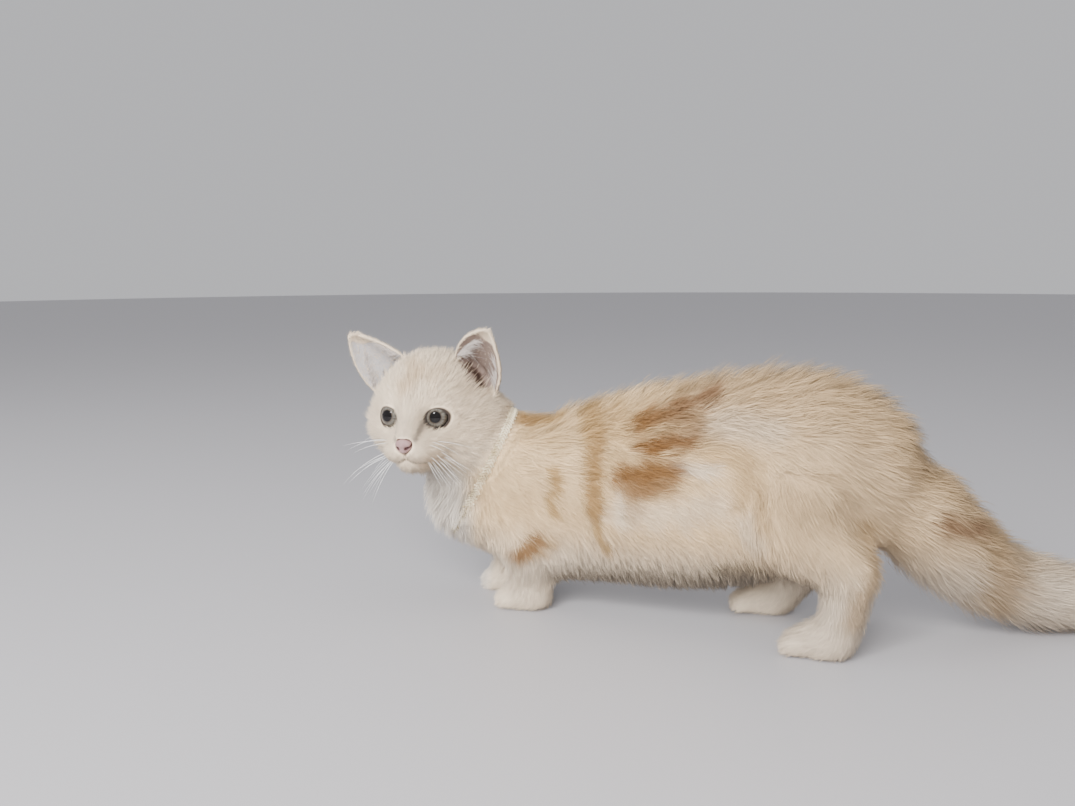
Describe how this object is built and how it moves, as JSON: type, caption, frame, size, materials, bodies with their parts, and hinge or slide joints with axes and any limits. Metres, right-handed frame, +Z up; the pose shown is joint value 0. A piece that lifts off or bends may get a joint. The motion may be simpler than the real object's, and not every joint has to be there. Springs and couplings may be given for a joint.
{
  "type": "munchkin cat",
  "caption": "Short-legged young cat with a plush cream and tan coat, standing on all paws, head turned to its left, thick tail trailing to the floor, thin textured collar.",
  "frame": {"origin": "on the floor, under the middle of the box round the whole cat", "axes": "+X from the rump to the chest, +Y to the cat's left, +Z up"},
  "size_m": [0.5398, 0.1718, 0.1889],
  "materials": {
    "coat": "soft plush fur, cream with tan markings",
    "ear": "thin short fur, bare pinkish inside",
    "nose_leather": "matt pink leather",
    "eye": "wet and glossy, grey green iris",
    "collar_band": "twisted whitish cord band"
  },
  "bodies": {
    "root": {"collar": "collar_band", "ear_left": "ear", "ear_right": "ear", "eye_left": "eye", "eye_right": "eye", "foreleg_left": "coat", "foreleg_right": "coat", "forepaw_left": "coat", "forepaw_right": "coat", "head": "coat", "hindleg_left": "coat", "hindleg_right": "coat", "hindpaw_left": "coat", "hindpaw_right": "coat", "neck": "coat", "nose": "nose_leather", "tail_1": "coat", "tail_2": "coat", "tail_3": "coat", "thigh_left": "coat", "thigh_right": "coat", "torso": "coat"}
  },
  "joints": []
}
